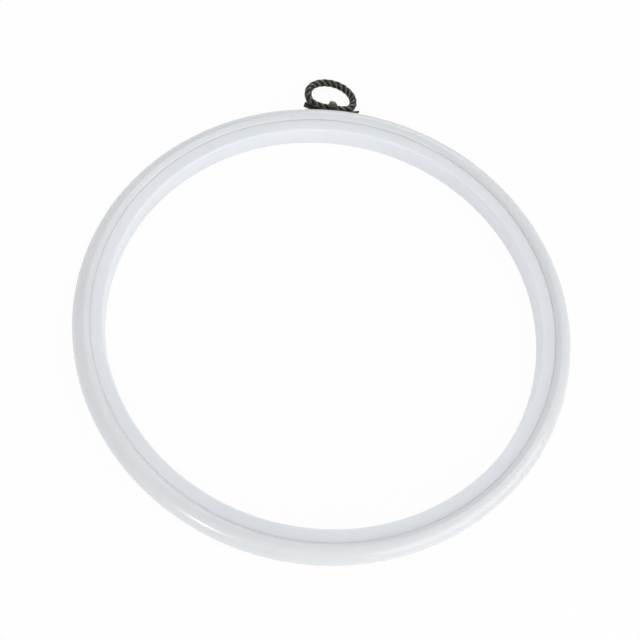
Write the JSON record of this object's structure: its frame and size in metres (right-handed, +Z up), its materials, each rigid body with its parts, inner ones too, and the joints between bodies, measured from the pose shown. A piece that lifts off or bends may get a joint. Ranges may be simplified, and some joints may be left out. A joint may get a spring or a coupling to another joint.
{
  "type": "embroidery hoop",
  "caption": "Round needlework hoop: rigid inner ring, flexible outer ring snapped over its back lip, and a small twisted metal hanging ring pinned to the edge.",
  "frame": {"origin": "centre of the footprint on the table that the hoop lies on", "axes": "+Z up through the hoop from back to front, +Y from the hoop's centre towards the hanger"},
  "size_m": [0.203, 0.2238, 0.0126],
  "materials": {
    "inner_plastic": "satin moulded, cool white",
    "outer_vinyl": "soft gloss flexible vinyl, cool white",
    "plate_metal": "blackened antique, satin",
    "pin_metal": "antique bronze, worn bright on the crown",
    "ring_metal": "blackened antique with worn strands"
  },
  "bodies": {
    "inner_ring": {"inner_ring": "inner_plastic"},
    "outer_ring": {"outer_ring": "outer_vinyl"},
    "hanger": {"hanger_plate": "plate_metal", "hanger_pin": "pin_metal"},
    "hanging_ring": {"hanging_ring": "ring_metal"}
  },
  "joints": [
    {"name": "outer_ring_lift", "type": "slide", "parent": "inner_ring", "child": "outer_ring", "axis": [0, 0, 1], "range_m": [0, 0.016]},
    {"name": "hanger_swivel", "type": "hinge", "parent": "outer_ring", "child": "hanger", "pos_m": [0, 0.09109, 0.00591], "axis": [0, 1, 0], "range_deg": [-22, 8]},
    {"name": "ring_swing", "type": "hinge", "parent": "hanger", "child": "hanging_ring", "pos_m": [-0.00012, 0.09427, 0.00501], "axis": [0.9912, 0, -0.1323], "range_deg": [-78, 88]}
  ]
}
